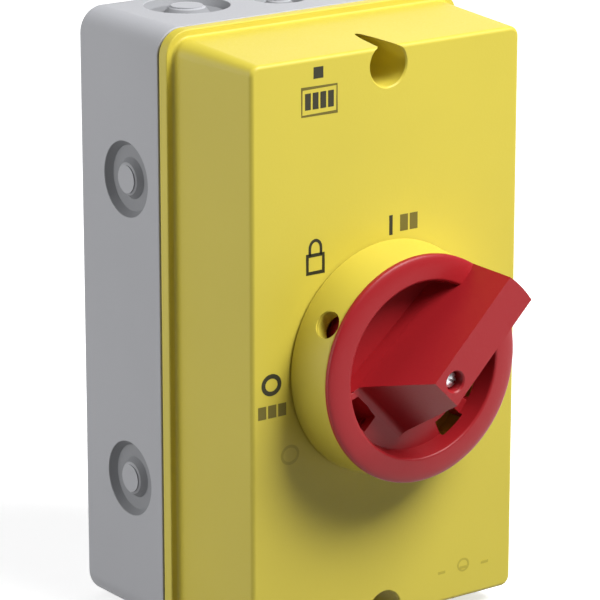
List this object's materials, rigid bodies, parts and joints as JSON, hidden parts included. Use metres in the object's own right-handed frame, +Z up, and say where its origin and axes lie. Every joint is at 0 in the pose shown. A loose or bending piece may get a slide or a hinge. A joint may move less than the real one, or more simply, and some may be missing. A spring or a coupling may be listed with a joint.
{
  "type": "enclosed rotary isolator switch",
  "caption": "Grey wall box with a yellow screwed cover and a red padlockable rotary handle that turns a stacked-deck switch inside.",
  "frame": {"origin": "centre of the back face, where the box meets the wall", "axes": "+X right as seen from the front, +Y into the wall, +Z up; the front faces -Y"},
  "size_m": [0.0856, 0.0913, 0.148],
  "materials": {
    "box_plastic": "light grey moulded plastic with a fine satin texture",
    "cover_plastic": "signal yellow moulded plastic, fine satin texture",
    "handle_plastic": "red moulded plastic, satin",
    "black_plastic": "black moulded plastic",
    "deck_plastic": "ivory moulded plastic",
    "seal_rubber": "black rubber",
    "steel": "zinc-plated steel",
    "brass": "plain brass",
    "copper": "plain copper"
  },
  "bodies": {
    "enclosure": {"back_box": "box_plastic", "switch_base": "black_plastic", "contact_deck_1": "deck_plastic", "contact_deck_2": "deck_plastic", "contact_deck_3": "deck_plastic", "line_contact_1": "brass", "load_contact_1": "brass", "line_terminal_screw_1": "steel", "load_terminal_screw_1": "steel", "line_contact_2": "brass", "load_contact_2": "brass", "line_terminal_screw_2": "steel", "load_terminal_screw_2": "steel", "line_contact_3": "brass", "load_contact_3": "brass", "line_terminal_screw_3": "steel", "load_terminal_screw_3": "steel", "mechanism_housing": "black_plastic", "detent_plunger": "deck_plastic", "detent_spring": "steel", "tie_screw_right": "steel", "tie_screw_left": "steel", "base_screw_top": "steel", "base_screw_bottom": "steel", "earth_bar": "brass", "earth_screw_upper": "steel", "earth_screw_lower": "steel", "neutral_bar": "brass", "neutral_screw_upper": "steel", "neutral_screw_lower": "steel"},
    "cover": {"cover": "cover_plastic", "handle_collar": "cover_plastic", "cover_gasket": "seal_rubber", "cover_screw_top": "steel", "cover_screw_bottom": "steel", "screw_seal_top": "seal_rubber", "screw_seal_bottom": "seal_rubber", "shaft_seal": "seal_rubber"},
    "handle": {"knob": "handle_plastic", "shaft_coupling": "black_plastic", "knob_screw": "steel"},
    "rotor": {"drive_shaft": "steel", "stop_cam": "deck_plastic", "rotor_disc_1": "black_plastic", "rotor_disc_2": "black_plastic", "rotor_disc_3": "black_plastic", "contact_bridge_1": "copper", "contact_bridge_2": "copper", "contact_bridge_3": "copper"}
  },
  "joints": [
    {"name": "cover_lift", "type": "slide", "parent": "enclosure", "child": "cover", "axis": [0, -1, 0], "range_m": [0, 0.06]},
    {"name": "handle_turn", "type": "hinge", "parent": "cover", "child": "handle", "pos_m": [0, -0.0653, -0.0042], "axis": [0, -1, 0], "range_deg": [0, 90]},
    {"name": "rotor_turn", "type": "hinge", "parent": "enclosure", "child": "rotor", "pos_m": [0, -0.04, -0.0042], "axis": [0, -1, 0], "range_deg": [0, 90]}
  ],
  "couplings": [
    {"joint": "rotor_turn", "follows": "handle_turn", "ratio": 1}
  ]
}
